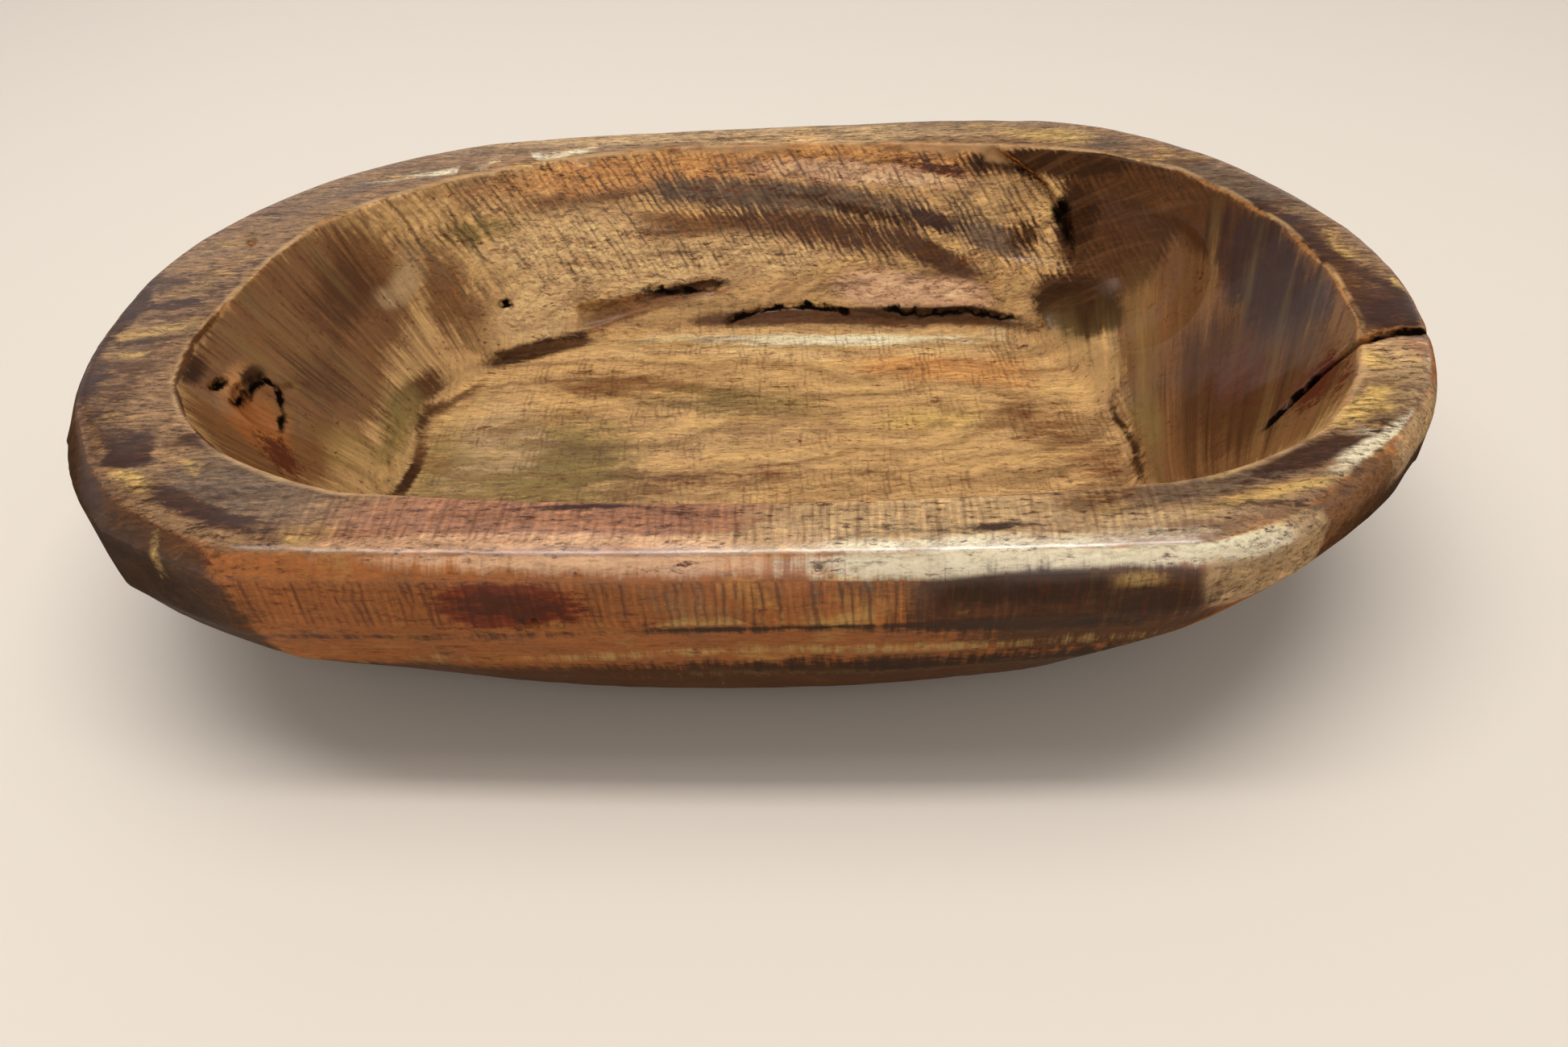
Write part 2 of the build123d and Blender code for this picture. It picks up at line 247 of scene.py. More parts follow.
# stains of each part of the bowl: colour, centre, radii, turn in degrees about x, y and z, how soft, how strong
stains = {
    "outside": [
        ("umber", (-110, -58, 32), (36, 60, 24), (0, 0, 0), 0.2, 1.8),
        ("dark", (-106, -62, 36), (30, 40, 14), (0, 0, 0), 0.5, 0.9),
        # painted highlight: a thin gold line down the edge between the left facets
        ("gold", (-88, -74, 41), (1.2, 9, 8), (0, 8, 0), 0.6, 0.9),
        ("rust", (-81, -78, 41), (6, 8, 8), (0, 0, 0), 0.8, 0.8),
        ("umber", (-116, 20, 30), (22, 60, 24), (0, 0, 0), 1.0, 0.8),
        ("umber", (112, -46, 32), (26, 40, 14), (0, 0, 0), 0.4, 1.4),
        ("umber", (120, -10, 32), (20, 40, 15), (0, 0, 0), 0.4, 1.3),
        ("dark", (112, -48, 40), (9, 26, 3.4), (0, 0, -30), 0.8, 0.9),
        ("rust", (-70, -80, 42), (16, 6, 7), (0, 0, 0), 0.9, 0.8),
        ("umber", (49.5, -82, 41.6), (24, 8, 6.4), (0, 1, 0), 0.4, 1.2),
        ("dark", (46, -82, 43.2), (14, 8, 3.2), (0, 2, 0), 1.0, 1.0),
        ("dark", (64, -82, 40), (10, 8, 3.4), (0, 2, 0), 1.0, 0.8),
        ("umber", (22, -82, 43), (5, 6, 4), (0, 0, 0), 1.0, 0.4),
        ("tan", (4, -82, 42), (16, 6, 5), (0, 0, 0), 1.0, 0.35),
        ("gold", (21, -82, 42), (6.5, 6, 6), (0, 0, 0), 0.8, 0.8),
        ("tan", (83, -79, 44), (11.5, 10, 7.5), (0, 0, 0), 0.3, 1.2),
        # painted highlight on the arris at the front right corner
        ("cream", (80, -80, 48), (6, 6, 2), (0, 0, 0), 0.8, 0.7),
        ("gold", (62, -82, 43.6), (4.5, 6, 2), (0, 0, 0), 1.0, 0.7),
        ("dark", (46, -81, 35.6), (22, 6, 1.8), (0, 0, 0), 0.9, 0.8),
        ("tan", (112, -48, 46), (12, 18, 4), (0, 0, 45), 0.7, 0.7),
        ("brown", (98, -66, 40), (15, 14, 11), (0, 0, 0), 0.5, 1.3),
        # the seam under the band, the bevel and the flank
        ("dark", (24, -82, 36.4), (50, 6, 1.0), (0, -1.4, 0), 1.0, 0.8),
        ("umber", (-50, -80, 34.4), (30, 6, 1.0), (0, -1.4, 0), 1.0, 0.6),
        ("gold", (8, -82, 38.2), (30, 4, 0.8), (0, -1.4, 0), 1.0, 0.6),
        ("umber", (58, -80, 33), (22, 12, 5), (0, -3, 0), 0.7, 0.95),
        ("gold", (10, -80, 29), (56, 10, 1.6), (0, -2, 0), 1.0, 0.5),
        ("dark", (46, -74, 24), (60, 20, 4.5), (0, -2, 0), 0.9, 0.7),
        ("gold", (30, -70, 21), (50, 20, 2.0), (0, -2, 0), 1.0, 0.4),
        ("umber", (0, -66, 12), (140, 40, 13), (0, 0, 0), 0.4, 0.9),
        ("umber", (0, 60, 20), (140, 60, 30), (0, 0, 0), 0.5, 0.7),
        # the knot on the front
        ("red", (-30.5, -82.5, 41.5), (10.5, 6, 4.4), (0, 2, 0), 0.5, 1.25),
        ("maroon", (-30, -82.5, 41.4), (8, 6, 3.0), (0, 3, 0), 0.9, 1.05),
        ("dark", (-29.6, -82, 37.8), (0.8, 4, 1.8), (0, 0, 0), 0.6, 1.0),
        # arris between the rim and the band; the peach and cream along it are painted highlight
        ("peach", (-20, -79.5, 49.5), (38, 4, 2.2), (0, 0, 0), 0.8, 0.85),
        ("cream", (48, -79, 48.6), (34, 5, 2.6), (0, 0, 0), 0.6, 1.0),
        ("umber", (34, -80.5, 47.4), (16, 5, 0.9), (0, 0, 0), 1.0, 0.9),
        ("brown", (64, -79, 49), (16, 5, 1.0), (0, 0, 0), 1.0, 0.9),
        ("umber", (26, -79, 49.4), (10, 4, 0.7), (0, 0, 0), 1.0, 0.7),
    ],
    "rim": [
        ("pink", (-24, -73, 50), (40, 9, 4), (0, 0, 0), 0.5, 1.0),
        # the thin peach and cream lines along the outer edge are painted highlight on the arris
        ("peach", (-24, -78, 50), (46, 2.2, 4), (0, 0, 0), 0.8, 0.7),
        ("tan", (32, -73, 50), (26, 7, 4), (0, 0, 0), 0.7, 0.8),
        ("cream", (42, -78.5, 50), (28, 2.0, 4), (0, 0, 0), 0.9, 0.65),
        ("tan", (10, -78, 50), (14, 3, 4), (0, 0, 0), 0.9, 0.8),
        ("brown", (24, -72, 50), (30, 3, 4), (0, 0, 3), 1.0, 0.7),
        ("umber", (52, -71, 50), (24, 2.0, 4), (0, 0, 10), 1.0, 0.75),
        ("tan", (64, -75, 50), (24, 2.4, 4), (0, 0, 8), 1.0, 0.7),
        ("umber", (72, -73, 50), (14, 0.9, 4), (0, 0, 12), 1.0, 0.7),
        ("dark", (38, -75.5, 50), (12, 0.9, 4), (0, 0, 2), 1.0, 0.8),
        ("purple", (-24, -69, 50), (12, 1.0, 4), (0, 0, 4), 0.9, 0.8),
        ("purple", (-2, -70, 50), (9, 1.2, 4), (0, 0, -6), 0.9, 0.5),
        ("slate", (36, -72, 50), (16, 1.6, 4), (0, 0, 8), 1.0, 0.6),
        # left end
        ("slate", (-76, -62, 50), (18, 7, 4), (0, 0, -28), 0.7, 0.85),
        ("purple", (-82, -68, 50), (15, 2.4, 4), (0, 0, -30), 0.9, 0.9),
        ("purple", (-105, -46.5, 50), (4.6, 3.4, 4), (0, 0, 10), 0.7, 1.1),
        ("purple", (-102.5, -53.5, 50), (5, 2.8, 4), (0, 0, 0), 0.7, 1.1),
        ("purple", (-107.5, -35.5, 50), (10, 1.4, 4), (0, 0, 55), 0.8, 0.95),
        ("purple", (-119, -31, 49), (4, 8, 4), (0, 0, 8), 0.8, 1.0),
        ("purple", (-123, -8, 49), (3, 20, 4), (0, 0, 0), 0.8, 0.9),
        ("purple", (-113, -2, 50), (10, 1.8, 4), (0, 0, 10), 1.0, 0.8),
        ("purple", (-108, 12, 50), (9, 2.4, 4), (0, 0, 5), 1.0, 0.8),
        ("purple", (-94, -46, 50), (11, 2.4, 4), (0, 0, -24), 1.0, 0.8),
        ("umber", (-112, -30, 50), (9, 30, 4), (0, 0, 0), 1.0, 0.55),
        ("purple", (-111, 4, 50), (10, 1.5, 4), (0, 0, 6), 1.0, 0.8),
        ("purple", (-116, -16, 50), (6, 1.2, 4), (0, 0, 0), 1.0, 0.8),
        ("gold", (-115, -12, 50), (9, 2.6, 4), (0, 0, 8), 1.0, 0.6),
        ("gold", (-97, -60, 50), (9, 2, 4), (0, 0, -30), 1.0, 0.7),
        ("gold", (-112, -21, 50), (7, 1.8, 4), (0, 0, -8), 1.0, 0.6),
        ("gold", (-108, -66, 50), (5, 1.4, 4), (0, 0, -50), 0.8, 0.7),
        ("gold", (-86, -57, 50), (8, 1.6, 4), (0, 0, -32), 1.0, 0.55),
        # right end
        ("slate", (86, -62, 50), (24, 3.8, 4), (0, 0, 24), 0.7, 1.1),
        ("purple", (95, -57.5, 50), (15, 2.4, 4), (0, 0, 32), 0.8, 1.1),
        ("gold", (97, -49.5, 50), (24, 1.5, 4), (0, 0, 38), 0.8, 1.05),
        ("gold", (110, -38, 50), (1.4, 9, 4), (0, 0, -12), 0.9, 0.9),
        ("cream", (105, -54.5, 50), (15, 1.7, 4), (0, 0, 44), 0.8, 0.95),
        ("cream", (120, -38, 50), (1.8, 10, 4), (0, 0, -18), 0.9, 0.7),
        ("tan", (114, -36, 50), (7, 14, 4), (0, 0, -20), 0.9, 0.6),
        ("slate", (113, -36, 50), (3, 14, 4), (0, 0, -20), 1.0, 0.7),
        ("brown", (115, -34, 50), (5, 3, 4), (0, 0, 0), 0.9, 0.8),
        ("slate", (104, -50, 50), (14, 3, 4), (0, 0, 44), 1.0, 0.7),
        ("slate", (114, -44, 50), (4, 8, 4), (0, 0, -30), 0.9, 0.7),
        ("gold", (86, -69, 50), (17, 1.6, 4), (0, 0, 20), 0.9, 0.7),
        ("pink", (118, -28, 50), (6, 5, 4), (0, 0, 0), 0.8, 0.8),
        ("umber", (116, -12, 50), (4.4, 14, 4), (0, 0, -6), 0.7, 1.05),
        ("purple", (118, -14, 50), (5, 9, 4), (0, 0, 0), 0.8, 1.1),
        ("umber", (118, 6, 50), (3.4, 14, 4), (0, 0, 10), 0.9, 0.9),
        ("gold", (122.5, 0, 50), (1.6, 20, 4), (0, 0, 6), 0.9, 0.65),
        ("purple", (113, 18, 50), (3.4, 16, 4), (0, 0, 22), 0.8, 1.0),
        ("slate", (103, 38, 50), (7, 22, 4), (0, 0, 38), 0.8, 0.95),
        ("umber", (99, 46, 50), (4, 20, 4), (0, 0, 44), 1.0, 0.9),
        # back
        ("gold", (70, 70, 50), (13, 4, 4), (0, 0, -20), 0.7, 0.7),
        ("slate", (86, 62, 50), (14, 4, 4), (0, 0, -32), 0.9, 0.95),
        ("tan", (-5, 75, 50), (70, 6, 4), (0, 0, 0), 0.8, 0.9),
        ("olive", (0, 80, 50), (60, 2, 4), (0, 0, 0), 0.9, 0.7),
        # painted highlight: the thin cream line along the inner edge of the far rim
        ("cream", (-62, 63, 50), (26, 1.8, 4), (0, 0, 20), 0.8, 0.8),
        ("slate", (-92, 50, 50), (20, 3.4, 4), (0, 0, 40), 1.0, 0.7),
    ],
    "hollow": [
        # left wall
        ("brown", (-97, -2, 34), (20, 56, 18), (0, 0, 0), 0.6, 1.1),
        ("umber", (-93, 22, 36), (8, 16, 12), (0, 0, 0), 0.9, 0.65),
        ("umber", (-92, -2, 28), (6, 14, 8), (0, 0, 0), 1.0, 0.6),
        ("tan", (-83, 34, 30), (2.4, 8, 16), (0, 8, -20), 1.0, 0.75),
        ("brown", (-75, 41, 26), (6, 8, 12), (0, 0, 0), 1.0, 0.8),
        ("amber", (-99, -22, 40), (4, 12, 3), (0, 0, 0), 1.0, 0.55),
        ("rust", (-91, -25, 36), (8, 10, 6), (0, 0, 0), 0.9, 0.95),
        # painted shadow inside the top of the U-shaped gouge
        ("dark", (-96, -14, 38.3), (3, 4.2, 1.8), (0, 0, 0), 0.8, 1.0),
        ("dark", (-103, -32, 47), (3, 14, 3.4), (0, 0, 0), 0.8, 1.0),
        ("maroon", (-88, -32, 33), (5, 6, 4), (0, 0, 0), 0.9, 0.85),
        ("gold", (-83, -16, 21), (6, 12, 5), (0, 0, 0), 1.0, 0.45),
        ("olive", (-77, 2, 17), (5, 14, 5), (0, 0, 0), 1.0, 0.85),
        ("umber", (-76, 15, 16), (4, 11, 3), (0, 0, -25), 1.0, 0.9),
        # painted shade: dark lines in the creases where the end walls meet the floor
        ("dark", (-73.5, -8, 13), (1.6, 18, 2.4), (0, 0, 2), 0.9, 1.0),
        ("umber", (-70, 17, 13.2), (1.8, 15, 2.4), (0, 0, -24), 0.9, 1.0),
        ("dark", (80, -6, 13.6), (0.9, 20, 2.2), (0, 0, -4), 1.0, 0.75),
        # far wall
        ("amber", (-2, 67, 47), (72, 16, 4.0), (0, -1, 0), 0.8, 0.95),
        ("peach", (24, 66, 44.8), (24, 10, 2.4), (0, 2, 0), 0.9, 0.95),
        ("maroon", (40, 64, 46.4), (12, 6, 1.0), (0, 8, 0), 1.0, 0.8),
        ("brown", (-40, 64, 42.3), (27, 12, 1.9), (0, -3, 0), 1.0, 0.95),
        ("olive", (-68, 54, 38), (12, 10, 3.2), (0, 0, 0), 1.0, 0.8),
        ("sand", (-50, 54, 33), (24, 14, 7), (0, 0, 0), 1.0, 0.9),
        ("slate", (6, 62, 39.4), (36, 12, 3.2), (0, 5, 0), 1.0, 0.95),
        ("brown", (-14, 60, 33.4), (34, 12, 3.4), (0, 4, 0), 1.0, 0.95),
        ("umber", (16, 58, 32), (26, 12, 4.4), (0, 10, 0), 1.0, 0.8),
        ("dark", (24, 58, 36), (16, 12, 1.6), (0, 12, 0), 1.0, 0.75),
        ("umber", (42, 56, 26.2), (15, 12, 3.0), (0, 20, 0), 0.9, 1.05),
        ("purple", (41, 58, 34.5), (8, 8, 2.2), (0, 12, 0), 0.9, 1.0),
        ("slate", (57, 55, 31), (12, 9, 3.4), (0, 10, 0), 1.0, 0.9),
        ("dark", (65, 52, 33), (4, 6, 3.4), (0, 0, 0), 1.0, 0.8),
        ("sand", (-28, 54, 26), (42, 12, 5), (0, -4, 0), 1.0, 1.1),
        ("sand", (-52, 46, 20), (12, 12, 6), (0, -4, 0), 1.0, 0.9),
        ("brown", (-70, 44, 22), (8, 14, 7), (0, 10, 0), 1.0, 0.6),
        ("peach", (36, 50, 19.5), (20, 8, 3.4), (0, 4, 0), 0.8, 1.1),
        ("brown", (-27, 49, 19), (18, 6, 2.2), (0, -11, 8), 0.7, 1.05),
        # the dark line along the slot's upper edge is painted shade under its lip
        ("dark", (-20, 51, 20.8), (9, 4, 0.9), (0, -11, 8), 0.9, 1.0),
        ("umber", (26, 47, 14.8), (42, 6, 2.0), (0, 0, 0), 0.7, 1.1),
        ("dark", (40, 46, 15.2), (26, 6, 1.6), (0, 0, -6), 0.9, 0.95),
        # painted shade in the crease where the far wall meets the floor
        ("dark", (-53, 40, 13.6), (14, 4, 1.8), (0, 0, 20), 0.9, 0.95),
        # right wall
        ("brown", (104, 6, 34), (29, 56, 20), (0, 0, 0), 0.3, 1.25),
        ("umber", (104, -14, 32), (20, 26, 14), (0, 0, 0), 0.8, 0.9),
        ("umber", (98, 38, 44), (18, 24, 6), (0, 0, 0), 0.8, 1.0),
        ("umber", (84, 50, 36), (12, 16, 16), (0, 0, 0), 0.4, 1.1),
        ("brown", (86, -18, 22), (9, 24, 10), (0, 0, 0), 0.9, 0.95),
        ("brown", (90, 34, 36), (8, 12, 14), (0, 0, 0), 1.0, 0.6),
        ("dark", (74, 37, 22.5), (9, 9, 5.4), (0, 0, 0), 0.6, 1.1),
        ("dark", (70, 61, 47.4), (20, 10, 2.8), (0, 0, -18), 0.8, 1.0),
        # painted shadow just below the step of the scoop
        ("dark", (76, 53, 37), (4, 8, 7), (0, 0, 0), 0.8, 1.0),
        ("maroon", (98, -12, 33), (8, 13, 7), (0, 0, 0), 0.8, 0.45),
        ("purple", (109, 10, 43), (9, 22, 8), (0, 0, 10), 1.0, 0.95),
        ("olive", (84, -4, 18.5), (5, 14, 4.4), (0, 0, 0), 1.0, 0.55),
        ("maroon", (105, -30, 43), (9, 7, 6), (0, 0, -30), 0.8, 0.9),
        # floor; the sand, gold and cream band along its far edge is painted highlight
        ("sand", (6, 38, 12), (58, 6, 4), (0, 0, 0), 1.0, 0.8),
        ("gold", (10, 40.5, 12), (50, 3.6, 4), (0, 0, 0), 1.0, 0.8),
        ("cream", (14, 41.5, 12), (44, 3, 4), (0, 0, 0), 1.0, 0.7),
        ("tan", (-58, 4, 12), (12, 26, 4), (0, 0, 0), 1.0, 0.6),
        ("olive", (-50, -8, 12), (26, 18, 4), (0, 0, 0), 1.0, 0.9),
        ("umber", (-40, -14, 12), (26, 3, 4), (0, 0, 6), 1.0, 0.6),
        ("brown", (-30, 22, 12), (26, 5, 4), (0, 0, -8), 1.0, 0.65),
        ("olive", (-6, 14, 12), (26, 7, 4), (0, 0, -6), 1.0, 0.55),
        ("amber", (42, 27, 12), (24, 8, 4), (0, 0, -10), 1.0, 0.7),
        ("brown", (67, -4, 12), (11, 28, 4), (0, 0, 20), 1.0, 0.55),
        ("gold", (40, 6, 12), (12, 5, 4), (0, 0, 0), 1.0, 0.7),
        ("brown", (-10, -14, 12), (30, 7, 4), (0, 0, 4), 1.0, 0.5),
    ],
}
stainOrder = ["brown", "amber", "sand", "pink", "rust", "umber", "olive", "slate", "tan", "gold", "peach", "cream", "red", "maroon", "dark",
              "purple"]


def markBowl(skin):  # attributes that the lacquered wood reads
    mesh = skin.data
    places, normals, edges = readPoints(mesh)
    bulge = ((places - neighbourMean(places, edges)) * normals).sum(1)
    fine = neighbourMean(neighbourMean(bulge, edges), edges)
    broad = fine
    for _ in range(14):
        broad = neighbourMean(broad, edges)
    inHollow = insideOutline(places, bowl["mouth"])
    marks = {
        "fineEdge": fine * 6,
        "broadEdge": broad * 12,
        "inMouth": inHollow,
        "hollow": fade(inHollow, -0.4, 0.6) * fade(normals[:, 2], -0.3, 0.0),
    }
    marks["rim"] = (1 - marks["hollow"]) * fade(normals[:, 2], 0.8, 0.95) * fade(places[:, 2], 45, 47)
    marks["outside"] = (1 - marks["hollow"]) * (1 - marks["rim"])
    marks["front"] = fade(-places[:, 1], 60, 66) * fade(np.abs(places[:, 0]), 84, 66) * (1 - marks["hollow"])
    marks["rubbed"] = fade(-inHollow, 6, 9) * fade(places[:, 2], 44, 47) * (0.15 + 0.85 * fade(-places[:, 1], 45, 72))
    marks["endGrain"] = fade(np.abs(normals[:, 0]), 0.25, 0.6)
    wander = np.array([noise.noise_vector(p) for p in (places * (0.022, 0.045, 0.045) + 7.7).tolist()])
    loose = places + wander * (5, 3.5, 2.5)
    for part in stains:
        for name, centre, radii, turn, soft, strength in stains[part]:
            turned = np.array(Euler([radians(v) for v in turn]).to_matrix())
            away = (np.abs((loose - centre) @ turned / radii) ** 2.6).sum(1) ** (1 / 2.6)
            here = strength * fade(away, 1 + soft * 0.8, 1 - soft * 0.9) * marks[part]
            marks["stain" + name] = np.maximum(marks.get("stain" + name, 0), here)
    for name, values in marks.items():
        mesh.attributes.new(name, "FLOAT", "POINT").data.foreach_set("value", values.astype(np.float32))


carvedBowl = carveBowl()
markBowl(carvedBowl)
print("bowl carved,", len(carvedBowl.data.polygons), "triangles")


# ---- shader sums

class Wire:
    def __init__(self, tree, socket):
        self.tree, self.socket = tree, socket

    def math(self, operation, first, second=0.0, third=0.0):
        return node(self.tree, "ShaderNodeMath", {"operation": operation}, {0: first, 1: second, 2: third})

    def __add__(self, other): return self.math("ADD", self, other)
    def __radd__(self, other): return self.math("ADD", other, self)
    def __sub__(self, other): return self.math("SUBTRACT", self, other)
    def __rsub__(self, other): return self.math("SUBTRACT", other, self)
    def __mul__(self, other): return self.math("MULTIPLY", self, other)
    def __rmul__(self, other): return self.math("MULTIPLY", other, self)
    def __truediv__(self, other): return self.math("DIVIDE", self, other)
    def __rtruediv__(self, other): return self.math("DIVIDE", other, self)
    def __pow__(self, other): return self.math("POWER", self, other)
    def __neg__(self): return self.math("MULTIPLY", self, -1.0)

    def sine(self): return self.math("SINE", self)
    def fraction(self): return self.math("FRACT", self)
    def least(self, other): return self.math("MINIMUM", self, other)
    def most(self, other): return self.math("MAXIMUM", self, other)

    def rise(self, start, end, low=0.0, high=1.0):  # low before start, high after end, smooth between
        return node(self.tree, "ShaderNodeMapRange", {"interpolation_type": "SMOOTHSTEP"},
                    {0: self, 1: start, 2: end, 3: low, 4: high})


def node(tree, kind, settings, sockets, output=0):
    made = tree.nodes.new(kind)
    for name, value in settings.items():
        if name == "stops":
            while len(made.color_ramp.elements) < len(value):
                made.color_ramp.elements.new(1.0)
            for element, (place, shade) in zip(made.color_ramp.elements, value):
                element.position, element.color = place, shade
        else:
            setattr(made, name, value)
    for name, value in sockets.items():
        if isinstance(value, Wire):
            tree.links.new(value.socket, made.inputs[name])
        else:
            made.inputs[name].default_value = value
    return Wire(tree, made.outputs[output]) if len(made.outputs) else None


def shade(red, green, blue):  # a colour as it shows on a screen, 0 to 255
    parts = [v / 255 for v in (red, green, blue)]
    return tuple(v / 12.92 if v < 0.04045 else ((v + 0.055) / 1.055) ** 2.4 for v in parts) + (1.0,)


def mixShade(factor, first, second, blend="MIX"):
    tree = next(w.tree for w in (factor, first, second) if isinstance(w, Wire))
    return node(tree, "ShaderNodeMix", {"data_type": "RGBA", "blend_type": blend}, {0: factor, 6: first, 7: second}, 2)


def vector(operation, first, second):
    return node(first.tree, "ShaderNodeVectorMath", {"operation": operation}, {0: first, 1: second})


def split(place):
    return [node(place.tree, "ShaderNodeSeparateXYZ", {}, {0: place}, i) for i in range(3)]


def cloud(place, scale, stretch=(1, 1, 1), turn=(0, 0, 0), detail=3.0, rough=0.55, output=0, twist=0.0):
    laid = node(place.tree, "ShaderNodeMapping", {"vector_type": "TEXTURE"},
                {"Vector": place, "Rotation": [radians(v) for v in turn], "Scale": [1 / v for v in stretch]}) if (
        tuple(stretch) != (1, 1, 1) or tuple(turn) != (0, 0, 0)) else place
    return node(place.tree, "ShaderNodeTexNoise", {"noise_dimensions": "3D"},
                {"Vector": laid, "Scale": scale, "Detail": detail, "Roughness": rough, "Distortion": twist}, output)


def mark(tree, name):
    return node(tree, "ShaderNodeAttribute", {"attribute_name": name}, {}, 2)


# ---- the lacquered wood

wood = {
    "hollow": shade(186, 146, 96), "rim": shade(134, 102, 72), "outside": shade(150, 90, 46),
    "brown": shade(118, 80, 48), "amber": shade(196, 138, 82), "sand": shade(204, 164, 114), "pink": shade(148, 102, 76),
    "rust": shade(152, 92, 48), "umber": shade(80, 50, 27), "olive": shade(124, 102, 58), "slate": shade(102, 82, 64),
    "tan": shade(174, 142, 102), "gold": shade(188, 152, 90), "peach": shade(208, 162, 124), "cream": shade(220, 202, 168),
    "red": shade(116, 50, 26), "maroon": shade(82, 38, 22), "dark": shade(54, 34, 20), "purple": shade(58, 38, 32),
    "black": shade(12, 7, 5),
    "lighter": shade(234, 229, 219), "coat": 0.2, "rubbedCoat": 0.8, "coatRoughness": 0.17,
}
# painted shade: thin black lines in the cracks, grooves, nicks and scar, and a painted shadow along the step of the
# scoop; half width, runs
shadeLines = [
    (0.5, [[(-8.5, 47.6, 13.9), (-1.3, 49.2, 16), (6.7, 49.7, 16.6), (18.7, 48.7, 16.1), (21.1, 47.8, 15)],
           [(30.6, 47.8, 16.2), (38.5, 46.5, 15.6), (50.2, 45.7, 16.5), (61.3, 41, 16.7)],
           [(-29, 50.9, 21.4), (-12, 52.6, 21.7)], [(-100.3, -24.7, 44.2), (-100.1, -19.7, 42.8)],
           [(-63.4, 41.5, 23.2), (-60.7, 43, 23.3)]]),
    (0.7, [[(-97.5, -24.2, 40.5), (-98.3, -18.2, 40.3), (-97.3, -12, 38.4), (-95.1, -11.4, 35.6), (-93.4, -16, 33.9),
             (-91.9, -22, 33.1)]]),
    (1.1, [[(125.5, -22.4, 50), (117.2, -23.5, 50), (113, -25.8, 50), (110.1, -27, 48.8), (106, -26.5, 43.5),
             (103.3, -27.5, 41.2), (100.5, -29.3, 39), (96, -32.3, 35.9)],
            [(70.9, 54.7, 39.9), (73.2, 51.5, 37.2), (74.3, 47.4, 33.1)]]),
]


def strokes(place, runs, half):  # 0 on the runs, 1 at half a width from them
    nearest = None
    for run in runs:
        for start, end in zip(run[:-1], run[1:]):
            way = Vector(end) - Vector(start)
            laid = node(place.tree, "ShaderNodeMapping", {"vector_type": "TEXTURE"}, {
                "Vector": place, "Location": (Vector(start) + Vector(end)) / 2,
                "Rotation": way.to_track_quat("X", "Z").to_euler(), "Scale": (way.length * 0.6, half, half * 4.5)})
            away = node(place.tree, "ShaderNodeVectorMath", {"operation": "LENGTH"}, {0: laid}, 1)
            nearest = away if nearest is None else nearest.least(away)
    return nearest


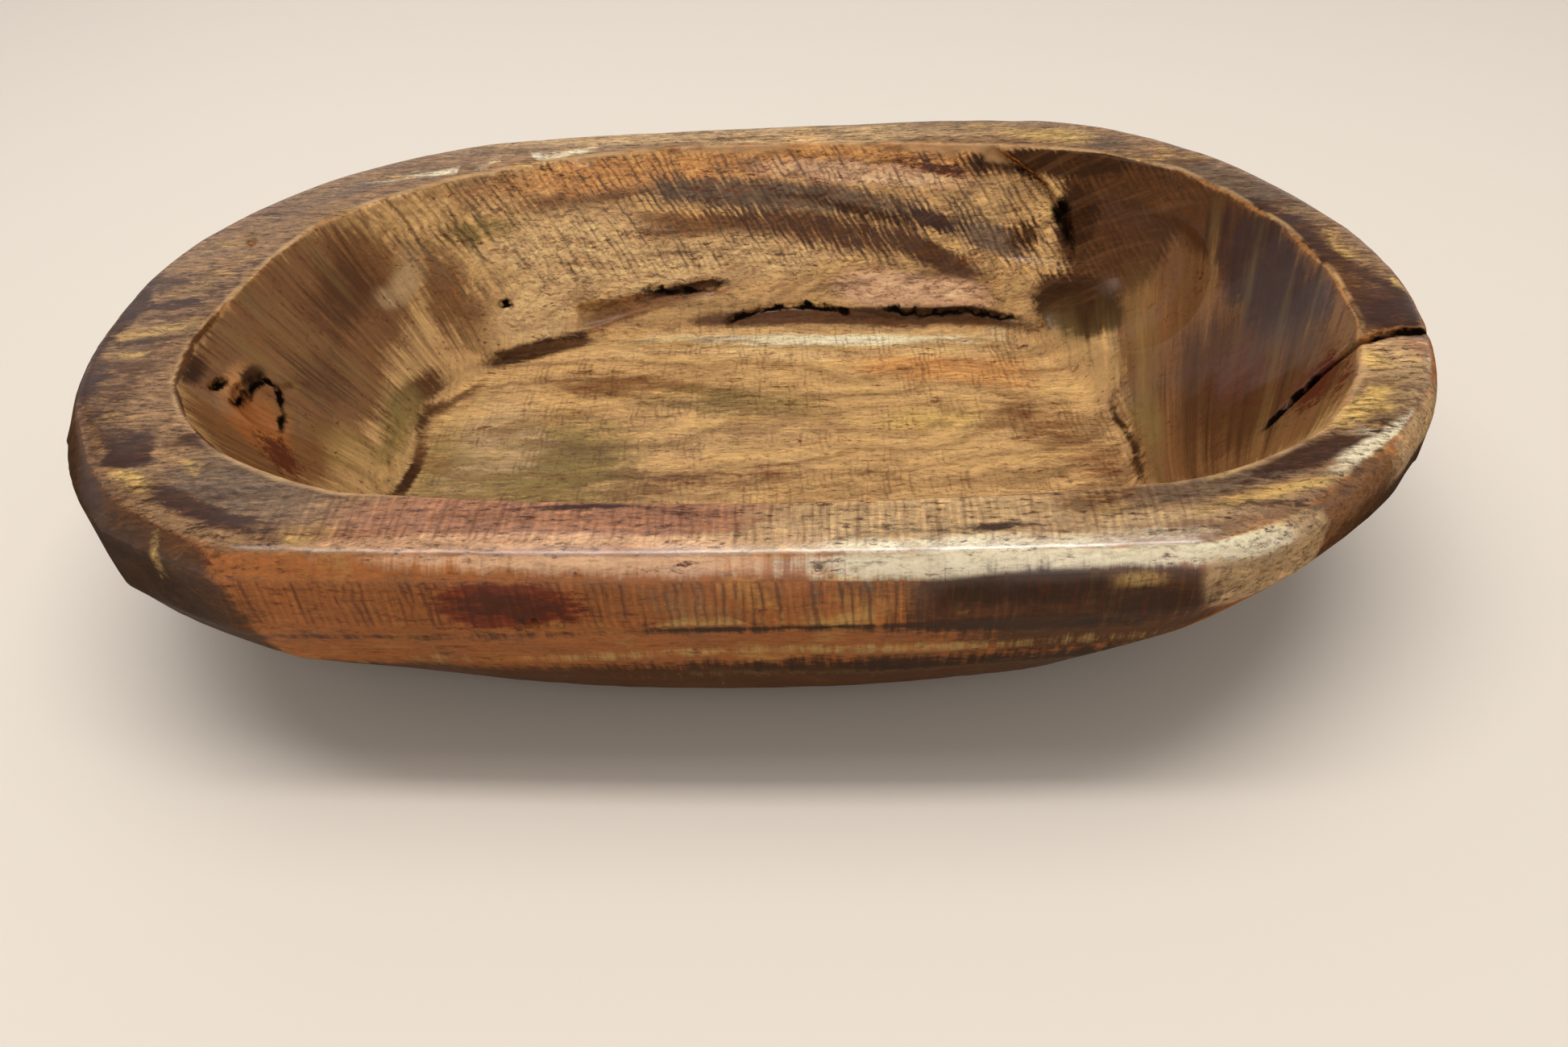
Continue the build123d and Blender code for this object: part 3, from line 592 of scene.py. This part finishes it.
def lacqueredWood():
    material = bpy.data.materials.new("lacqueredWood")
    material.use_nodes = True
    tree = material.node_tree
    tree.nodes.clear()
    place = vector("MULTIPLY", node(tree, "ShaderNodeTexCoord", {}, {}, 3), (1000, 1000, 1000))
    x, y, z = split(place)
    hollow, rim, outside, inMouth = [mark(tree, name) for name in ("hollow", "rim", "outside", "inMouth")]
    front, endGrain, rubbed = [mark(tree, name) for name in ("front", "endGrain", "rubbed")]
    fineEdge, broadEdge = mark(tree, "fineEdge"), mark(tree, "broadEdge")
    half = (0.5, 0.5, 0.5)

    # grain: streaks, fibres and flecks along the bowl, and growth rings as long ovals
    wobble = vector("SUBTRACT", cloud(place, 0.35, detail=3, output=1), half)
    shaky = vector("ADD", place, vector("MULTIPLY", wobble, (2.6, 2.6, 2.6)))
    patchy = cloud(place, 0.1, (0.6, 1, 1), detail=4, rough=0.6)
    drift = cloud(place, 0.035, (0.5, 1, 1), detail=1.5, rough=0.5)
    tatter = cloud(shaky, 0.5, (0.17, 1, 1), detail=5, rough=0.7)
    streak = cloud(shaky, 0.3, (0.13, 1, 1), detail=5, rough=0.68)
    fibre = cloud(shaky, 1.5, (0.12, 1, 1), detail=4, rough=0.7)
    speckle = cloud(place, 1.1, (0.3, 1, 1), detail=5, rough=0.75)
    fleck = cloud(place, 1.9, (0.2, 1, 1), detail=1)
    saw = cloud(place, 0.8, (1, 0.07, 0.06), detail=3, rough=0.7)
    ringPlace = node(tree, "ShaderNodeMapping", {"vector_type": "TEXTURE"},
                     {"Vector": shaky, "Location": (-6, 9, -14), "Scale": (3.4, 1, 1)})
    ring = node(tree, "ShaderNodeVectorMath", {"operation": "LENGTH"}, {0: ringPlace}, 1) + drift * 30
    rings = (ring * 1.1).sine() * 0.5 + (ring * 3.1).sine() * 0.22 + 0.5
    # evenly spaced tool marks, broken up by the noises
    chamfer = z.rise(45.8, 46.6) * z.rise(49.9, 49.4)
    sawHere = front * z.rise(36.4, 37.4) * (1 - chamfer * 0.8)
    kerf = ((x + z * 0.05 + patchy * 4 + rim * 2 + chamfer * 3) * 4.7).sine() * 0.08 + saw
    raspNoise = cloud(place, 0.8, (1, 0.2, 0.06), (0, -34, 0), detail=3, rough=0.7)
    rasp = ((x * 0.83 + z * 0.56 + patchy * 5) * 4.6).sine() * 0.09 + raspNoise
    crossRasp = cloud(place, 0.6, (1, 0.2, 0.05), (0, 62, 0), detail=3, rough=0.6)
    spun = node(tree, "ShaderNodeMath", {"operation": "ARCTAN2"},
                {0: y + x.rise(0, 60, 0, 90), 1: x - x.rise(-40, 60, -30, 72)})
    spin = node(tree, "ShaderNodeCombineXYZ", {}, {0: spun * 62, 1: z * 0.07, 2: inMouth * 0.04})
    down = cloud(spin, 1.0, detail=5, rough=0.7)
    broadDown = cloud(spin, 0.22, detail=4, rough=0.6)

    side = 1 - endGrain * (0.6 - outside * 0.4)
    onFloor = z.rise(20, 14) * hollow
    farWall = hollow * y.rise(30, 44) * z.rise(15, 20)
    endWall = hollow * (1 - farWall) * z.rise(13, 19)
    strong = side * (1 - front * 0.6) * (1 - onFloor * 0.35) * (1 - endWall * 0.6)
    raspHere = farWall * z.rise(22, 28) * patchy.rise(0.3, 0.5)

    base = mixShade(hollow, mixShade(rim, wood["outside"], wood["rim"]), wood["hollow"])
    base = mixShade(patchy.rise(0.48, 0.72) * 0.5, base, wood["brown"])
    base = mixShade(patchy.rise(0.46, 0.3) * 0.35, base, wood["gold"])
    ragged = tatter + (saw - tatter) * front * outside * 0.8 + (down - tatter) * endWall * 0.8 + (rasp - tatter) * raspHere * 0.9
    ragged = ragged + (speckle - 0.5) * (1 - hollow * 0.6) * 0.6
    for colour in stainOrder:
        edge = (tatter + speckle - 1) * 2 if colour in ("red", "maroon") else (ragged - 0.5) * 1.2
        covered = mark(tree, "stain" + colour) + edge + (patchy - 0.5) * 0.5
        base = mixShade(covered.rise(0.18, 0.74), base, wood[colour])

    # rings show most on the floor
    base = mixShade(rings.rise(0.5, 1.1) * (onFloor * 0.3 + 0.08) * side, base, wood["brown"])
    base = mixShade(rings.rise(0.5, -0.1) * onFloor * 0.25, base, wood["lighter"], "OVERLAY")
    base = mixShade(streak.rise(0.5, 0.7) * strong * (0.7 + rim * 0.25), base, wood["umber"])
    base = mixShade(streak.rise(0.49, 0.3) * strong * 0.6, base, wood["lighter"], "OVERLAY")
    base = mixShade(fibre.rise(0.48, 0.68) * strong * 0.75, base, wood["dark"])
    base = mixShade(fibre.rise(0.49, 0.3) * strong * 0.7, base, wood["lighter"], "OVERLAY")
    base = mixShade(speckle.rise(0.5, 0.66) * (rim * 0.6 + 0.2) * side, base, wood["dark"])
    base = mixShade(speckle.rise(0.49, 0.34) * (rim * 0.5 + 0.2) * side, base, wood["lighter"], "OVERLAY")
    base = mixShade(fleck.rise(0.66, 0.74) * strong * 0.7, base, wood["dark"])
    # saw marks across the rim and the band at the front
    base = mixShade(kerf.rise(0.5, 0.72) * sawHere * (0.65 - rim * 0.2), base, wood["maroon"])
    base = mixShade(kerf.rise(0.48, 0.3) * sawHere * 0.5, base, wood["lighter"], "OVERLAY")
    # slanting rasp lines on the far wall, and finer ones crossing them
    base = mixShade(rasp.rise(0.5, 0.7) * raspHere * 0.6, base, wood["dark"])
    base = mixShade(rasp.rise(0.48, 0.34) * raspHere * 0.4, base, wood["lighter"], "OVERLAY")
    base = mixShade(crossRasp.rise(0.5, 0.68) * farWall * 0.3, base, wood["brown"])
    base = mixShade(crossRasp.rise(0.48, 0.32) * farWall * 0.3, base, wood["lighter"], "OVERLAY")
    # streaks and scratches that run down the end walls
    base = mixShade(broadDown.rise(0.5, 0.7) * endWall * 0.5, base, wood["umber"])
    base = mixShade(broadDown.rise(0.52, 0.3) * endWall * 0.45, base, wood["olive"])
    base = mixShade(down.rise(0.5, 0.72) * endWall * 0.55, base, wood["dark"])
    base = mixShade(down.rise(0.48, 0.28) * endWall * 0.5, base, wood["lighter"], "OVERLAY")
    # fine saw marks over the floor
    floorKerf = ((x + y * 0.1 + patchy * 6) * 4.7).sine() * 0.1 + saw
    base = mixShade(floorKerf.rise(0.52, 0.7) * onFloor * patchy.rise(0.35, 0.6) * 0.4, base, wood["umber"])
    # a paler line round the mouth, partly worn wood and partly painted highlight on the inner arris
    lip = inMouth.rise(-1.6, -0.5) * inMouth.rise(0.6, 0.0) * (1 - endGrain) * patchy.rise(0.38, 0.58)
    base = mixShade(lip * 0.5, base, wood["sand"])
    # convex edges are made paler, and painted shade darkens the concave creases and hollows
    base = mixShade(fineEdge.rise(0.15, 0.7) * 0.6, base, wood["lighter"], "OVERLAY")
    base = mixShade(broadEdge.rise(-0.12, -0.8) * 0.75, base, wood["dark"])
    base = mixShade(fineEdge.rise(-0.12, -0.7) * 0.85, base, wood["black"])
    # painted shade: black in the cracks, grooves and nicks, and a painted shadow along the step of the scoop
    open = 0.0
    for wide, runs in shadeLines:
        here = strokes(shaky, runs, wide).rise(1.5, 0.6)
        open = here.most(open)
    base = mixShade(open, base, wood["black"])

    relief = fibre * side * -0.5 + kerf * sawHere * -1.0 + rasp * raspHere * -1.0 + down * endWall * -0.8
    bump = node(tree, "ShaderNodeBump", {}, {"Strength": 0.5, "Distance": 0.12 * mm, "Height": relief})
    shine = 0.36 + 0.2 * fibre.rise(0.4, 0.7) + 0.15 * saw.rise(0.4, 0.7)
    glaze = (wood["coat"] + rubbed * x.rise(-60, 30, 0.35, 1) * wood["rubbedCoat"]) * broadEdge.rise(-0.5, -0.05) * patchy.rise(0.2, 0.6, 0.6, 1.3)
    glaze = glaze * (1 - open) * (1 - outside * endGrain * 0.85) * (1 - mark(tree, "staindark") * hollow)
    shader = node(tree, "ShaderNodeBsdfPrincipled", {}, {
        "Base Color": base, "Roughness": shine, "Coat Weight": glaze, "Coat Roughness": wood["coatRoughness"],
        "Specular IOR Level": 0.0, "Normal": bump})
    node(tree, "ShaderNodeOutputMaterial", {}, {"Surface": shader})
    return material


carvedBowl.data.materials.clear()
carvedBowl.data.materials.append(lacqueredWood())
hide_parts("carved_bowl")
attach(carvedBowl, "root")
print("bowl finished")


# ---- floor, light, camera

setting = {
    "floorShade": shade(222, 211, 198),
    "skyShade": shade(246, 243, 238),
    "skyStrength": 0.42,
    "ceiling": shade(150, 148, 146),
    "lamps": [  # name, place, watts, metres along and across
        ("overhead", (0.05, 0.06, 0.95), 3.2, (0.8, 0.6)),
        ("strip", (-0.06, -0.02, 0.90), 4.2, (1.1, 0.11)),
        ("behind", (-0.45, 0.95, 0.60), 1.2, (0.8, 0.6)),
        ("fill", (0.25, -1.10, 0.80), 2.7, (1.0, 0.8)),
    ],
}


def paleFloor():
    work = bmesh.new()
    bmesh.ops.create_grid(work, x_segments=1, y_segments=1, size=6)
    mesh = bpy.data.meshes.new("floor")
    work.to_mesh(mesh)
    work.free()
    ground = bpy.data.objects.new("floor", mesh)
    bpy.context.scene.collection.objects.link(ground)
    material = bpy.data.materials.new("paleFloor")
    material.use_nodes = True
    tree = material.node_tree
    tree.nodes.clear()
    shader = node(tree, "ShaderNodeBsdfPrincipled", {}, {"Base Color": setting["floorShade"], "Roughness": 0.6,
                                                         "Specular IOR Level": 0.2})
    node(tree, "ShaderNodeOutputMaterial", {}, {"Surface": shader})
    mesh.materials.append(material)


def softLight():
    world = bpy.data.worlds.new("studio")
    bpy.context.scene.world = world
    world.use_nodes = True
    tree = world.node_tree
    tree.nodes.clear()
    rays = [node(tree, "ShaderNodeLightPath", {}, {}, i) for i in (0, 3, 6)]
    seen = rays[0].most(rays[1]).most(rays[2])
    lit = node(tree, "ShaderNodeBackground", {}, {0: setting["skyShade"], 1: setting["skyStrength"]})
    height = split(node(tree, "ShaderNodeTexCoord", {}, {}, 0))[2]  # white all round, softer grey overhead
    shown = node(tree, "ShaderNodeBackground", {}, {0: mixShade(height.rise(0.15, 0.6), shade(255, 255, 255), setting["ceiling"]), 1: 1.0})
    both = node(tree, "ShaderNodeMixShader", {}, {0: seen, 1: lit, 2: shown})
    node(tree, "ShaderNodeOutputWorld", {}, {"Surface": both})
    for name, place, watts, size in setting["lamps"]:
        lamp = bpy.data.lights.new(name, "AREA")
        lamp.energy, lamp.shape = watts, "RECTANGLE"
        lamp.size, lamp.size_y = size
        holder = bpy.data.objects.new(name, lamp)
        holder.location = place
        back = (Vector(place) - Vector((0, 0, 0.03))).normalized()
        across = Vector((0, 1, 0)).cross(back).normalized()
        holder.rotation_euler = Matrix((across, back.cross(across), back)).transposed().to_euler()
        bpy.context.scene.collection.objects.link(holder)


view = {
    "place": (20.4, -209.15, 163.6),  # mm
    "down": 40.0, "turn": 4.07, "roll": -3.5,  # degrees
    "lens": 27.03,
}


def placeCamera():
    down, turn, roll = (radians(view[key]) for key in ("down", "turn", "roll"))
    forward = Vector((-sin(turn) * cos(down), cos(turn) * cos(down), -sin(down)))
    right = Vector((cos(turn), sin(turn), 0))
    below = forward.cross(right)
    right, below = cos(roll) * right - sin(roll) * below, sin(roll) * right + cos(roll) * below
    camera = bpy.data.objects.new("camera", bpy.data.cameras.new("camera"))
    camera.data.lens, camera.data.sensor_width = view["lens"], 36
    camera.data.clip_start, camera.data.clip_end = 0.01, 20
    turned = Matrix((right, -below, -forward)).transposed().to_4x4()
    camera.matrix_world = Matrix.Translation(Vector(view["place"]) * mm) @ turned
    bpy.context.scene.collection.objects.link(camera)
    bpy.context.scene.camera = camera


paleFloor()
softLight()
placeCamera()
bpy.context.scene.view_settings.view_transform = "Standard"
print("floor, light and camera ready")
